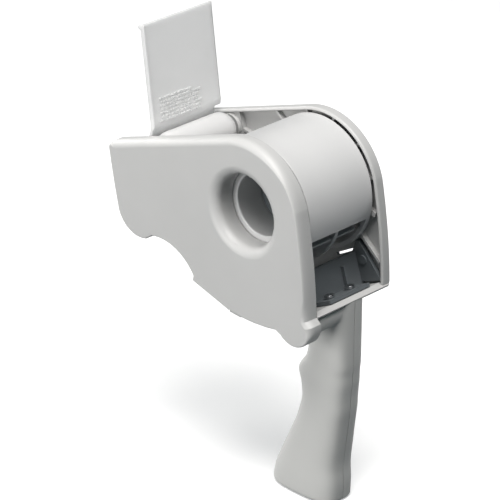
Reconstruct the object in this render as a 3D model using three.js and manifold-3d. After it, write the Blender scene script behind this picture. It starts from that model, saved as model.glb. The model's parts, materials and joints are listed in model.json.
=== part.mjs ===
// Tape gun dispenser: a hand-held holder for a roll of packing tape, with a drum for the tape core,
// an applicator roller and a wiper flap at the nose, a cutter behind the nose edges and a pistol handle.
import * as THREE from 'three';
import { mergeVertices } from 'three/addons/utils/BufferGeometryUtils.js';
import Module from 'manifold-3d';

const wasm = await Module();
wasm.setup();

// Driving dimensions, in millimetres and degrees.
// Everything is laid out in the plate frame: X runs back along the straight top edge of the side plates,
// Y runs across from the left plate to the right one, and the drum's axis is the line X = Z = 0.
const noseDip = 18;
const halfWidth = 33.75;
const wall = 2.4;
const flangeDepth = 9.3;
const frameRimDepth = 6.4;
const frameRimWall = 1.8;
const topInset = 3.9;
const rearInset = 1.7;
const lobeInset = 3.8;
const coverEase = 5.5;
const frameEase = 1.2;
const crispEase = 0.9;
const plateRadius = 41;
const clearance = 0.3;

const drumRadius = 38;
const drumWall = 2.4;
const drumLow = -21.5;
const drumHigh = 27.2;
const windowFrom = -146;
const windowTo = -34;
const sleeveOuter = 20.6;
const sleeveInner = 17.4;
const sleeveLow = -19.6;
const sleeveRim = 22.7;
const sleeveHigh = 27;
const spindleRadius = 17;
const spindleBore = 13.4;
const spindleEnd = -2;
const collarRadius = 20.5;
const collarRounding = 5.6;
const collarEnd = -19.9;

const rollerX = -62;
const rollerZ = 31.7;
const rollerRadius = 10;
const rollerHalf = 24.1;
const axleRadius = 3.9;

const pinX = -80;
const pinZ = 22;
const pinRadius = 1.9;
const flapThickness = 1.8;
const flapLow = -24.2;
const flapHigh = 28;
const flapNeckHalf = 23.6;
const flapTopX = -57;
const flapTopZ = 102.4;

const noseX = -83.3;
const noseZ = 2;
const noseRadius = 17.3;

const lobeX = 19.3;
const lobeZ = -62.3;
const lobeRadius = 12.5;

const handleY = 4.5;
const handleWall = 2.3;
const gripSquareness = 0.66;
const handleScrewRadius = 1.4;

const innerFace = halfWidth - wall;
const flangeEdge = halfWidth - flangeDepth;
const degree = Math.PI / 180;

// Solids from three.js geometry, and the joins and cuts between them.

function solid(geometry) {
  const bare = geometry.clone();
  bare.deleteAttribute('normal');
  bare.deleteAttribute('uv');
  return closed(mergeVertices(bare, 1e-4));
}

// A solid from geometry whose triangles already share their corners.
function closed(geometry) {
  return new wasm.Manifold(new wasm.Mesh({
    numProp: 3,
    vertProperties: new Float32Array(geometry.attributes.position.array),
    triVerts: new Uint32Array(geometry.index.array),
  }));
}

function join(first, ...others) {
  return others.reduce((sum, other) => sum.add(other), first);
}

function cut(first, ...others) {
  return others.reduce((rest, other) => rest.subtract(other), first);
}

// The corner points of an outline, at least a given distance apart.
function corners(shape, segments, spacing) {
  const kept = [];
  for (const point of shape.getPoints(segments)) {
    if (kept.length === 0 || point.distanceTo(kept[kept.length - 1]) > spacing) kept.push(point);
  }
  if (kept[0].distanceTo(kept[kept.length - 1]) < spacing) kept.pop();
  return kept;
}

// A plate with the given side outline between two Y positions.
function slab(shape, low, high, segments = 7) {
  const geometry = new THREE.ExtrudeGeometry(new THREE.Shape(corners(shape, segments, 0.02)), {
    depth: high - low, bevelEnabled: false,
  });
  geometry.rotateX(Math.PI / 2);
  geometry.translate(0, high, 0);
  return solid(geometry);
}

// A skin over rings of points that all have the same count, closed by a flat cap at each end.
function skin(rings, capOutline) {
  const count = rings[0].length;
  const indices = [];
  for (let ring = 0; ring < rings.length - 1; ring += 1) {
    for (let i = 0; i < count; i += 1) {
      const a = ring * count + i;
      const b = ring * count + ((i + 1) % count);
      indices.push(a, b, a + count, b, b + count, a + count);
    }
  }
  const last = (rings.length - 1) * count;
  for (const [a, b, c] of THREE.ShapeUtils.triangulateShape(capOutline, [])) {
    indices.push(c, b, a, last + a, last + b, last + c);
  }
  const geometry = new THREE.BufferGeometry();
  geometry.setAttribute('position', new THREE.Float32BufferAttribute(rings.flat(2), 3));
  geometry.setIndex(indices);
  return geometry;
}

function block(x0, x1, y0, y1, z0, z1) {
  const geometry = new THREE.BoxGeometry(x1 - x0, y1 - y0, z1 - z0);
  geometry.translate((x0 + x1) / 2, (y0 + y1) / 2, (z0 + z1) / 2);
  return solid(geometry);
}

function rod(radius, x, z, low, high, sides = 24) {
  const geometry = new THREE.CylinderGeometry(radius, radius, high - low, sides);
  geometry.translate(x, (low + high) / 2, z);
  return solid(geometry);
}

function tube(outer, inner, x, z, low, high, sides = 24) {
  return cut(rod(outer, x, z, low, high, sides), rod(inner, x, z, low - 1, high + 1, sides));
}

// A body of revolution about a line parallel to Y, from [radius, y] points that close on themselves.
function turned(profile, x, z, sides = 32) {
  const points = profile.map(([radius, y]) => new THREE.Vector2(radius, y));
  points.push(points[0].clone());
  const geometry = new THREE.LatheGeometry(points, sides);
  geometry.translate(x, 0, z);
  return solid(geometry);
}

function polygon(points) {
  return new THREE.Shape(points.map(([x, z]) => new THREE.Vector2(x, z)));
}

// A wire bent along a path of points, with a round section.
function wire(points, radius, steps) {
  const section = new THREE.Shape();
  section.absarc(0, 0, radius, 0, 2 * Math.PI, false);
  const path = new THREE.CatmullRomCurve3(points.map((p) => new THREE.Vector3(...p)));
  const geometry = new THREE.ExtrudeGeometry(section, {
    steps, bevelEnabled: false, extrudePath: path, curveSegments: 3,
  });
  return solid(geometry);
}

// For each point of an outline, the step that moves both its edges inwards by one, with mitred corners.
function mitres(points) {
  return points.map((point, i) => {
    const before = points[(i + points.length - 1) % points.length];
    const after = points[(i + 1) % points.length];
    const inDir = point.clone().sub(before).normalize();
    const outDir = after.clone().sub(point).normalize();
    const inNormal = new THREE.Vector2(-inDir.y, inDir.x);
    const outNormal = new THREE.Vector2(-outDir.y, outDir.x);
    const middle = inNormal.clone().add(outNormal).normalize();
    return middle.divideScalar(Math.max(0.6, middle.dot(inNormal)));
  });
}

// The side outline, drawn anticlockwise from the top front corner: down the front edge, round the nose
// corner, up over the finger arc, along the belly to the rear, and back round the drum.
// The left cover ends in a round lobe under the drum; the right frame ends in a plain corner.
function outline(withLobe) {
  const shape = new THREE.Shape();
  shape.moveTo(-92.4, plateRadius);
  shape.quadraticCurveTo(-96.2, plateRadius, -96.5, 37);
  shape.quadraticCurveTo(-99.4, 18, -100.6, noseZ);
  shape.absarc(noseX, noseZ, noseRadius, Math.PI, 1.5 * Math.PI, false);
  shape.lineTo(-79.4, -13.4);
  shape.absarc(-81, -44.5, 31.2, 84 * degree, 16 * degree, true);
  shape.lineTo(-52.6, -38.8);
  shape.lineTo(-28.6, -55.2);
  shape.quadraticCurveTo(-13, -62.8, 5, -65.3);
  if (withLobe) {
    shape.absarc(lobeX, lobeZ, lobeRadius, 207 * degree, 352 * degree, false);
    shape.lineTo(29.6, -60.5);
  } else {
    shape.lineTo(24.6, -62.8);
    shape.quadraticCurveTo(29, -62.2, 29.9, -58.2);
  }
  shape.quadraticCurveTo(37.5, -32, plateRadius, -1);
  shape.absarc(0, 0, plateRadius, 0, 90 * degree, false);
  return shape;
}

// How a plate's outer edge is eased where it faces against the given inward step: how far the easing reaches
// in over the face, and how far down the flange. The cover's is broad where the edge faces up, narrower where
// it faces back down to the lobe, and fades to a crisp edge along the nose and the belly.
function easingAt(inward, height, side) {
  if (side > 0) return [frameEase, frameEase];
  const { lerp, smoothstep } = THREE.MathUtils;
  const length = inward.length();
  const back = -inward.x / length;
  const up = -inward.y / length;
  const broad = smoothstep((back + up) / Math.SQRT2, -0.2, 0.5);
  const rear = lerp(rearInset, lobeInset, smoothstep(-height, 48, 58));
  const inset = lerp(rear, topInset, smoothstep(up, 0.3, 0.95));
  return [lerp(crispEase, inset, broad), lerp(crispEase, coverEase, broad)];
}

// A dished plate: flat web, rounded outer edge and a flange turned inwards. side is -1 left, +1 right.
function dish(shape, side) {
  const points = corners(shape, 7, 1.6);
  const steps = mitres(points);
  const rimDepth = side < 0 ? flangeDepth : frameRimDepth;
  const rimWall = side < 0 ? wall : frameRimWall;
  const rings = [points.map((p) => [p.x, side * (halfWidth - rimDepth), p.y])];
  for (let step = 0; step <= 3; step += 1) {
    const turn = step * 30 * degree;
    rings.push(points.map((p, i) => {
      const [over, down] = easingAt(steps[i], p.y, side);
      const inset = over * (1 - Math.cos(turn));
      const y = halfWidth - down * (1 - Math.sin(turn));
      return [p.x + inset * steps[i].x, side * y, p.y + inset * steps[i].y];
    }));
  }
  if (side > 0) rings.reverse();
  const full = closed(skin(rings, points));
  const hollowEnd = side * innerFace;
  const hollow = new THREE.Shape(points.map((p, i) => p.clone().addScaledVector(steps[i], rimWall)));
  return cut(full, slab(hollow, Math.min(0, hollowEnd), Math.max(0, hollowEnd)));
}

// A straight rib on the inside of a web, along a ray from the drum's axis.
function rayRib(side, angle, from, to, thickness, height) {
  const low = side > 0 ? innerFace - height : -innerFace - 0.5;
  const geometry = new THREE.BoxGeometry(to - from, height + 0.5, thickness);
  geometry.translate((from + to) / 2, low + (height + 0.5) / 2, 0);
  geometry.rotateY(-angle * degree);
  return solid(geometry);
}

// Stiffening ribs of both webs: the ray's angle, how far out it runs, and the rib's thickness.
const ribRays = [
  [91, 39.6, 1.6], [61, 39.6, 1.6], [30, 39.6, 1.6], [0, 39.6, 1.6], [-31, 40, 2.8], [122, 46, 1.6],
  [152, 64, 1.6], [176, 92, 1.6], [207, 57, 1.6], [236, 57, 1.6], [-58, 56, 1.6],
];

function webRibs(side) {
  return ribRays.map(([angle, end, thickness]) => rayRib(side, angle, 30, end, thickness, 3));
}

// Sockets on the inside of both webs that hold the ends of the roller's axle and the flap's pin:
// place, outer radius, bore radius and height. The roller's socket stands on a square bearing block.
const sockets = [[rollerX, rollerZ, 7, axleRadius + 0.25, 5.2], [pinX, pinZ, 4.6, pinRadius + 0.25, 3.6]];

function addSockets(plate, side) {
  const blockRoot = side * (innerFace + 0.6);
  const blockFace = side * (innerFace - 3);
  const bearing = block(-69.5, -54, Math.min(blockRoot, blockFace), Math.max(blockRoot, blockFace), 24, 39.4);
  return sockets.reduce((rest, [x, z, outer, bore, height]) => {
    const root = side * (innerFace + 0.6);
    const floor = side * innerFace;
    const mouth = side * (innerFace - height);
    const past = mouth - side;
    const boss = rod(outer, x, z, Math.min(root, mouth), Math.max(root, mouth));
    const hole = rod(bore, x, z, Math.min(floor, past), Math.max(floor, past));
    return cut(join(rest, boss), hole);
  }, join(plate, bearing));
}

// Left side cover: the dished plate, the rolled lip and collar of the hub hole, half of the nose tie post,
// and a shallow recess in the belly edge for the frame's snap tongue.
function leftSideCover() {
  const lip = [];
  for (let step = 0; step <= 4; step += 1) {
    const turn = step * 22.5 * degree;
    lip.push([collarRadius + collarRounding * (1 - Math.cos(turn)),
      -halfWidth + collarRounding * (1 - Math.sin(turn))]);
  }
  const outside = collarRadius + wall;
  const collar = turned([[collarRadius, collarEnd], ...lip, [29.5, -halfWidth], [29.5, -innerFace],
    [outside, -innerFace], [outside, collarEnd]], 0, 0, 56);
  const seat = rod(28.6, 0, 0, -halfWidth - 1, 0, 56);
  const post = rod(5.6, noseX, noseZ, -innerFace - 0.6, -clearance / 2);
  const plate = cut(join(dish(outline(true), -1), ...webRibs(-1)), seat);
  const screwHole = rod(1.6, noseX, noseZ, -26, 1, 16);
  return cut(addSockets(join(plate, collar, post), -1), screwHole, bellyBlock(0.8, 0.3, 1.2, 3, -35, -20));
}

// A block along the belly edge where the snap tongue lies: how far it runs past the tongue at each end,
// how deep it goes into the edge and how far it stands out, between two Y positions.
const tongueStart = [-28.2, -55.7];
const tongueLength = 8.3;
const tongueSlope = -23 * degree;

function bellyBlock(before, after, depth, proud, low, high) {
  const at = (along, out) => [
    tongueStart[0] + along * Math.cos(tongueSlope) + out * Math.sin(tongueSlope),
    tongueStart[1] + along * Math.sin(tongueSlope) - out * Math.cos(tongueSlope),
  ];
  const end = tongueLength + after;
  return slab(polygon([at(-before, proud), at(end, proud), at(end, -depth), at(-before, -depth)]), low, high);
}

// The band along the belly that the floor fills.
function bellyBand() {
  const shape = new THREE.Shape();
  shape.moveTo(29.9, -58.2);
  shape.lineTo(5, -61.7);
  shape.quadraticCurveTo(-13, -59.2, -27, -52.4);
  shape.lineTo(-28.6, -55.2);
  shape.quadraticCurveTo(-13, -62.8, 5, -65.3);
  shape.lineTo(24.6, -62.8);
  shape.quadraticCurveTo(29, -62.2, 29.9, -58.2);
  return shape;
}

// Outline of the narrow slanted slot in the frame's web below the drum.
const scrapSlot = [[-5, -44.6], [12.2, -41.2], [12.2, -39.6], [-5, -43]];

// Right side frame: the dished plate, the floor that reaches across to the cover with its snap tongue, ribs,
// and the other half of the tie post. A slot in the web below the drum lets tape scraps out.
function rightSideFrame() {
  const floor = slab(bellyBand(), -flangeEdge + clearance, innerFace + 0.5);
  const tongue = bellyBlock(0, 0, 0.9, 0.3, -33.2, -23.4);
  const post = rod(5.6, noseX, noseZ, clearance / 2, innerFace + 0.6);
  let frame = addSockets(join(dish(outline(false), 1), floor, tongue, post, ...webRibs(1)), 1);
  frame = cut(frame, rod(1.7, noseX, noseZ, -1, 40, 16), rod(3.3, noseX, noseZ, 29.4, 40, 20));
  frame = cut(frame, rod(2.3, 0, 0, 25, 40, 20), rod(4.4, 0, 0, 32.2, 40, 16));
  frame = cut(frame, slab(polygon(scrapSlot), innerFace - 5, halfWidth + 1));
  for (const [x, y] of bracketScrews) frame = cut(frame, upright(1.7, x, y, -70, -50));
  return frame;
}

// Screws that hold the bracket and the floor down to the handle head, one in each handle half.
const bracketScrews = [[19.5, -3.5], [19.5, 12.5]];

function upright(radius, x, y, low, high, sides = 12) {
  const geometry = new THREE.CylinderGeometry(radius, radius, high - low, sides);
  geometry.rotateX(Math.PI / 2);
  geometry.translate(x, y, (low + high) / 2);
  return solid(geometry);
}

// Bracket inside the tape chamber: cross wall with a stiffening rib, side gusset with a boss, floor pad.
function innerBracket() {
  const pad = slab(polygon([[10.8, -60.5], [26.4, -58.3], [26.4, -56.2], [10.8, -58.4]]), -10, 21);
  const crossWall = block(10.8, 13, -23.9, 30.9, -58.6, -40.7);
  const foot = slab(polygon([[10.8, -60.5], [13, -60.2], [13, -57], [10.8, -57]]), -23.9, 30.9);
  const gussetSide = polygon([[11, -58.4], [27.6, -57.4], [17.4, -34.6], [15.6, -34.6], [11, -40.7]]);
  const gusset = slab(gussetSide, 28.4, 30.9);
  const boss = rod(2.7, 17.6, -45.8, 27.6, 29, 20);
  const rib = block(12.8, 15.4, 15.2, 16.8, -58.6, -45.5);
  let bracket = join(crossWall, foot, pad, gusset, boss, rib);
  for (const [x, y] of bracketScrews) bracket = cut(bracket, upright(1.7, x, y, -64, -50));
  return bracket;
}

// Handle stations down the grip, measured square to it: forward-back centre, height, half depth, half width.
const grip = [
  [33.4, -44, 13.9, 11.3],
  [33.4, -80, 13.9, 11.3],
  [32.6, -88.5, 14.7, 11.4],
  [30.6, -93.5, 16.3, 11.6],
  [29.5, -98, 17.3, 11.8],
  [30.2, -105, 16, 11.6],
  [30.4, -113, 15.3, 11.5],
  [28.2, -126, 16.1, 11.7],
  [24.8, -138.7, 18, 12.3],
  [20.6, -153.8, 20.6, 13],
  [18.6, -165, 23, 13.5],
  [17.8, -173.2, 23.5, 13.6],
  [17.7, -175.2, 22, 12.1],
];

// A closed loft through superellipse sections, turned into the plate frame.
function loft(stations, shrink) {
  const around = 36;
  const rings = stations.map(([x, z, depth, width]) => Array.from({ length: around }, (_, i) => {
    const c = Math.cos((i / around) * 2 * Math.PI);
    const s = Math.sin((i / around) * 2 * Math.PI);
    return [x + (depth - shrink) * Math.sign(c) * Math.abs(c) ** gripSquareness,
      handleY + (width - shrink) * Math.sign(s) * Math.abs(s) ** gripSquareness, z];
  }));
  rings.reverse();
  const geometry = skin(rings, rings[0].map(([x, y]) => new THREE.Vector2(x, y)));
  geometry.rotateY(noseDip * degree);
  return closed(geometry);
}

// Handle screw places, measured like the grip stations, and how far each boss reaches to the shell.
const handleScrews = [[33, -88, 10.9], [30, -119, 10.9], [19.5, -160, 12.6]];

function toPlateFrame([x, z]) {
  const turn = noseDip * degree;
  return [x * Math.cos(turn) + z * Math.sin(turn), -x * Math.sin(turn) + z * Math.cos(turn)];
}

// One half of the handle: a shell parted at the middle, with a solid head under the floor and screw bosses.
// The left half also carries the round shoulder that fills the cover's lobe.
function handleHalf(side) {
  const hollowStations = grip.slice(1, -1);
  hollowStations[0] = [hollowStations[0][0], -79, hollowStations[0][2], hollowStations[0][3]];
  const overFloor = slab(polygonAboveBelly(), -60, 60);
  const apart = handleY + side * clearance / 2;
  const keepOut = side < 0 ? block(-90, 90, apart, 60, -200, -40) : block(-90, 90, -60, apart, -200, -40);
  let outer = loft(grip, 0);
  const shoulder = rod(lobeRadius - 0.9, lobeX, lobeZ, -flangeEdge + clearance, 2, 40);
  if (side < 0) outer = join(outer, shoulder);
  let half = cut(outer, loft(hollowStations, handleWall), overFloor, keepOut);
  for (const place of handleScrews) {
    const [x, z] = toPlateFrame(place);
    const end = handleY + side * place[2];
    half = join(half, rod(3.6, x, z, Math.min(apart, end), Math.max(apart, end), 14));
    if (side < 0) {
      half = cut(half, rod(handleScrewRadius + 0.2, x, z, handleY - 9, handleY + 1, 12));
    } else {
      const bore = rod(handleScrewRadius + 0.3, x, z, handleY - 1, 40, 12);
      const counterbore = rod(3, x, z, handleY + 9, 40, 16);
      half = cut(half, bore, counterbore);
    }
  }
  const [x, y] = bracketScrews[side < 0 ? 0 : 1];
  return cut(half, upright(1.6, x, y, -74, -50));
}

function polygonAboveBelly() {
  const shape = new THREE.Shape();
  const gap = clearance + 0.1;
  shape.moveTo(70, -20);
  shape.lineTo(-60, -20);
  shape.lineTo(-60, -40);
  shape.lineTo(-28.6, -55.2 - gap);
  shape.quadraticCurveTo(-13, -62.8 - gap, 5, -65.3 - gap);
  shape.lineTo(24.6, -62.8 - gap);
  shape.quadraticCurveTo(29, -62.2 - gap, 30.3, -60.2 - gap);
  shape.lineTo(70, -50);
  return shape;
}

// Tape hub: the drum with its window, end rings and middle disc, and the sleeve that turns on the spindle.
function tapeHubDrum() {
  let drum = tube(drumRadius, drumRadius - drumWall, 0, 0, drumLow, drumHigh, 72);
  const wedge = new THREE.Shape();
  wedge.moveTo(24 * Math.cos(windowFrom * degree), 24 * Math.sin(windowFrom * degree));
  wedge.lineTo(44 * Math.cos(windowFrom * degree), 44 * Math.sin(windowFrom * degree));
  wedge.lineTo(-30, -80);
  wedge.lineTo(30, -80);
  wedge.lineTo(44 * Math.cos(windowTo * degree), 44 * Math.sin(windowTo * degree));
  wedge.lineTo(24 * Math.cos(windowTo * degree), 24 * Math.sin(windowTo * degree));
  drum = cut(drum, slab(wedge, drumLow + 3, drumHigh - 3.2));
  const disc = tube(drumRadius - 0.6, sleeveOuter + clearance, 0, 0, 1, 3.4, 48);
  const ribs = [-45, 20, 90, 160, 220].map((angle) => {
    const geometry = new THREE.BoxGeometry(14.6, 34, 1.8);
    geometry.translate(29, 2.2, 0);
    geometry.rotateY(-angle * degree);
    return solid(geometry);
  });
  const hub = join(drum, disc, ...ribs);
  return cut(hub, rod(sleeveOuter + clearance, 0, 0, -40, 40, 48));
}

// The sleeve's front end has a narrow rim that closes the gap behind the cover's collar.
function hubSleeve() {
  const chamfer = 0.6;
  const rimThickness = 1.6;
  return turned([
    [sleeveInner, sleeveLow + chamfer], [sleeveInner + chamfer, sleeveLow],
    [sleeveRim, sleeveLow], [sleeveRim, sleeveLow + rimThickness],
    [sleeveOuter, sleeveLow + rimThickness], [sleeveOuter, sleeveHigh], [sleeveInner, sleeveHigh],
  ], 0, 0, 48);
}

// Spindle: a hollow stub on a round foot, screwed to the right frame.
function hubSpindle() {
  const chamfer = 0.5;
  const footFrom = 29.1;
  const footTo = innerFace - clearance;
  return turned([
    [2.3, footFrom + 0.1], [spindleBore, footFrom + 0.1],
    [spindleBore, spindleEnd + chamfer], [spindleBore + chamfer, spindleEnd],
    [spindleRadius - chamfer, spindleEnd], [spindleRadius, spindleEnd + chamfer],
    [spindleRadius, footFrom], [26, footFrom], [26, footTo], [2.3, footTo],
  ], 0, 0, 48);
}

// A screw along Y with its head at the high end, or at the low end when flipped.
function screwAlongY(x, z, tip, headFrom, headTo, shank, head) {
  const body = join(rod(shank, x, z, tip, headFrom + 0.2, 10), rod(head, x, z, headFrom, headTo, 14));
  const slot = block(x - head, x + head, headTo - 0.8, headTo + 1, z - 0.45, z + 0.45);
  return cut(body, slot);
}

// Wiper flap: a barrel on the pin, a neck that curls round the front of the roller, and the tall wide blade.
function flapLine(count) {
  const places = [[-79.6, 23], [-77.2, 30.5], [-74.4, 37], [-70.6, 41.5], [-67.6, 46.5], [-66.2, 53],
    [-61.6, 77.7], [flapTopX, flapTopZ]];
  const curve = new THREE.CatmullRomCurve3(places.map(([x, z]) => new THREE.Vector3(x, 0, z)));
  return curve.getPoints(count).map((p) => [p.x, p.z]);
}

function strip(line, front, back) {
  const side = (offset) => line.map(([x, z], i) => {
    const [x0, z0] = line[Math.max(0, i - 1)];
    const [x1, z1] = line[Math.min(line.length - 1, i + 1)];
    const length = Math.hypot(x1 - x0, z1 - z0);
    return [x - (offset * (z1 - z0)) / length, z + (offset * (x1 - x0)) / length];
  });
  return polygon([...side(front), ...side(-back).reverse()]);
}

function wiperFlap() {
  const line = flapLine(18);
  const half = flapThickness / 2;
  const upperPart = block(-120, 0, -60, 60, 52, 140);
  const lowerPart = block(-120, 0, -60, 60, -40, 44.4);
  const beadLine = strip(line, half + 1, 0);
  const neck = cut(slab(strip(line, half, half), -flapNeckHalf, flapNeckHalf), upperPart);
  const sheet = cut(slab(strip(line, half, half), flapLow, flapHigh), lowerPart);
  const bead = cut(slab(beadLine, flapLow, flapLow + 1.5), lowerPart);
  const nub = rod(1.3, flapTopX - 1.5, flapTopZ - 1, flapLow, flapLow + 1.5, 16);
  const barrel = rod(4.1, pinX, pinZ, -flapNeckHalf, flapNeckHalf, 20);
  const lean = Math.atan2(flapTopX + 66.2, flapTopZ - 53);
  const ridges = Array.from({ length: 7 }, (_, row) => {
    const geometry = new THREE.BoxGeometry(1, 31 - (row % 2) * 3, 0.9);
    geometry.translate(half - 0.1, 0, 0);
    geometry.rotateY(lean);
    geometry.translate(-66.2 + (row * 2 - 6) * 0.19, -2 - (row % 2) * 1.5, 47.8 + row * 2);
    return solid(geometry);
  });
  const flap = join(neck, sheet, bead, nub, barrel, ...ridges);
  return cut(flap, rod(pinRadius + 0.25, pinX, pinZ, -60, 60, 20));
}

function flapSpring() {
  const coils = [];
  for (let step = 0; step <= 30; step += 1) {
    const angle = step * 36 * degree;
    coils.push([pinX + 3.1 * Math.cos(angle), 24.4 + step * 0.08, pinZ + 3.1 * Math.sin(angle)]);
  }
  return wire(coils, 0.35, 42);
}

// Cutter: a bar across the nose, the toothed blade in front of it and a clamp strip with two screws.
// Heights are measured from the line of the two screws.
const cutterZ = 15.5;
const bladeFront = -94.9;
const bladeBack = -94.1;
const screwPlaces = [-14, 14];

function bladeHolder() {
  const back = -89.6;
  const reach = innerFace - clearance;
  const bar = block(bladeBack + clearance, back, -23.9, 23.9, cutterZ - 10, cutterZ + 10);
  const ends = block(bladeBack + 1.2, back, -reach, reach, cutterZ - 7.6, cutterZ + 6);
  const hollow = block(bladeBack + 2.6, back + 1, -20, 20, cutterZ - 7.6, cutterZ + 7.6);
  let holder = cut(join(bar, ends), hollow);
  for (const y of screwPlaces) {
    holder = join(holder, along(3.2, y, cutterZ, bladeBack + 1, back));
    holder = cut(holder, along(1.6, y, cutterZ, bladeBack - 1, back + 1));
  }
  return holder;
}

function along(radius, y, z, low, high, sides = 12) {
  const geometry = new THREE.CylinderGeometry(radius, radius, high - low, sides);
  geometry.rotateZ(Math.PI / 2);
  geometry.translate((low + high) / 2, y, z);
  return solid(geometry);
}

function cutterBlade() {
  const teeth = 20;
  const pitch = 2.35;
  const start = (-teeth * pitch) / 2;
  const shape = new THREE.Shape();
  const foot = cutterZ - 6;
  const notch = cutterZ + 13.4;
  const tip = cutterZ + 16.2;
  shape.moveTo(start, foot);
  shape.lineTo(-start, foot);
  for (let tooth = 0; tooth < teeth; tooth += 1) {
    shape.lineTo(-start - tooth * pitch, notch);
    shape.lineTo(-start - (tooth + 0.5) * pitch, tip);
  }
  shape.lineTo(start, notch);
  const geometry = new THREE.ExtrudeGeometry(shape, { depth: bladeBack - bladeFront, bevelEnabled: false });
  geometry.rotateX(Math.PI / 2);
  geometry.rotateZ(Math.PI / 2);
  geometry.translate(bladeFront, 0, 0);
  return screwPlaces.reduce((blade, y) => cut(blade, along(1.8, y, cutterZ, -99, -90)), solid(geometry));
}

function bladeClamp() {
  const bar = block(bladeFront - 1.6, bladeFront - clearance, -19, 19, cutterZ - 4, cutterZ + 4);
  return screwPlaces.reduce((clamp, y) => cut(clamp, along(1.8, y, cutterZ, -99, -90)), bar);
}

function bladeScrew(y) {
  const shank = along(1.35, y, cutterZ, bladeFront - 2, -90);
  const head = along(2.7, y, cutterZ, bladeFront - 3.2, bladeFront - 1.9, 14);
  const slot = block(bladeFront - 4, bladeFront - 2.7, y - 0.4, y + 0.4, cutterZ - 4, cutterZ + 4);
  return cut(join(shank, head), slot);
}

function bracketScrew([x, y]) {
  const slot = block(x - 3, x + 3, y - 0.4, y + 0.4, -55.8, -54);
  const head = cut(upright(2.9, x, y, -56.9 + clearance, -55.1, 14), slot);
  return join(upright(1.35, x, y, -72, -56), head);
}

function rollerSleeve() {
  const end = rollerHalf;
  const r = rollerRadius;
  return turned([[7.3, -end], [r - 1.2, -end], [r - 0.35, -end + 0.35], [r, -end + 1.2], [r, end - 1.2],
    [r - 0.35, end - 0.35], [r - 1.2, end], [7.3, end]], rollerX, rollerZ, 40);
}

// Materials: light grey moulded plastic for the body, paler plastic for what turns, steel for hardware.
const plastics = {
  shell: [0xbfc1c3, 0.45, 0],
  handle: [0xc6c6c5, 0.5, 0],
  pale: [0xdcdddd, 0.4, 0],
  inner: [0xaeb2b4, 0.5, 0],
  steel: [0xc8cacc, 0.3, 1],
  washer: [0x6e7072, 0.8, 0],
};

const tapeGun = new THREE.Group();

function place(name, body, look) {
  const { vertProperties, triVerts } = body.getMesh();
  const geometry = new THREE.BufferGeometry();
  geometry.setAttribute('position', new THREE.Float32BufferAttribute(vertProperties, 3));
  geometry.setIndex(Array.from(triVerts));
  geometry.computeVertexNormals();
  const [color, roughness, metalness] = plastics[look];
  const mesh = new THREE.Mesh(geometry, new THREE.MeshStandardMaterial({ color, roughness, metalness }));
  mesh.name = name;
  tapeGun.add(mesh);
}

place('left_side_cover', leftSideCover(), 'shell');
place('right_side_frame', rightSideFrame(), 'shell');
place('inner_bracket', innerBracket(), 'inner');
place('handle_left_half', handleHalf(-1), 'handle');
place('handle_right_half', handleHalf(1), 'handle');
place('tape_hub_drum', tapeHubDrum(), 'pale');
place('hub_sleeve', hubSleeve(), 'pale');
place('hub_spindle', hubSpindle(), 'inner');
place('hub_drag_washer', tube(21, sleeveInner, 0, 0, sleeveHigh + clearance, 28.8, 32), 'washer');
place('spindle_screw', screwAlongY(0, 0, 20, 32.5, 33.6, 2, 4), 'steel');
place('spindle_nut', tube(4, 2.3, 0, 0, 26, 28.9, 6), 'steel');
place('applicator_roller', rollerSleeve(), 'pale');
const coreHalf = rollerHalf - 0.4;
const axleHalf = innerFace - clearance;
place('roller_core', tube(7, axleRadius + 0.3, rollerX, rollerZ, -coreHalf, coreHalf), 'inner');
place('roller_axle', rod(axleRadius, rollerX, rollerZ, -axleHalf, axleHalf), 'steel');
place('wiper_flap', wiperFlap(), 'shell');
place('flap_hinge_pin', rod(pinRadius, pinX, pinZ, -axleHalf, axleHalf, 20), 'steel');
place('flap_spring', flapSpring(), 'steel');
place('blade_holder', bladeHolder(), 'inner');
place('cutter_blade', cutterBlade(), 'steel');
place('blade_clamp', bladeClamp(), 'steel');
place('blade_screw_left', bladeScrew(screwPlaces[0]), 'steel');
place('blade_screw_right', bladeScrew(screwPlaces[1]), 'steel');
place('nose_screw', screwAlongY(noseX, noseZ, -22, 29.8, 31.8, 1.4, 3), 'steel');
place('bracket_screw_left', bracketScrew(bracketScrews[0]), 'steel');
place('bracket_screw_right', bracketScrew(bracketScrews[1]), 'steel');
['upper', 'middle', 'lower'].forEach((which, i) => {
  const [x, z] = toPlateFrame(handleScrews[i]);
  const screw = screwAlongY(x, z, handleY - 8, handleY + 9.4, handleY + 11.2, handleScrewRadius, 2.7);
  place(`handle_screw_${which}`, screw, 'steel');
});

// Stand the gun as it is held: nose dipped, upper grip upright, lowest point at height zero, centred over
// the origin.
tapeGun.rotation.y = -noseDip * degree;
tapeGun.updateMatrixWorld(true);
const extent = new THREE.Box3().setFromObject(tapeGun, true);
tapeGun.position.set(-(extent.min.x + extent.max.x) / 2, -(extent.min.y + extent.max.y) / 2, -extent.min.z);

export default tapeGun;
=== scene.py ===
import json
import math

import bmesh
import bpy
from mathutils import Matrix, Vector
from mathutils.geometry import tessellate_polygon


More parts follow.
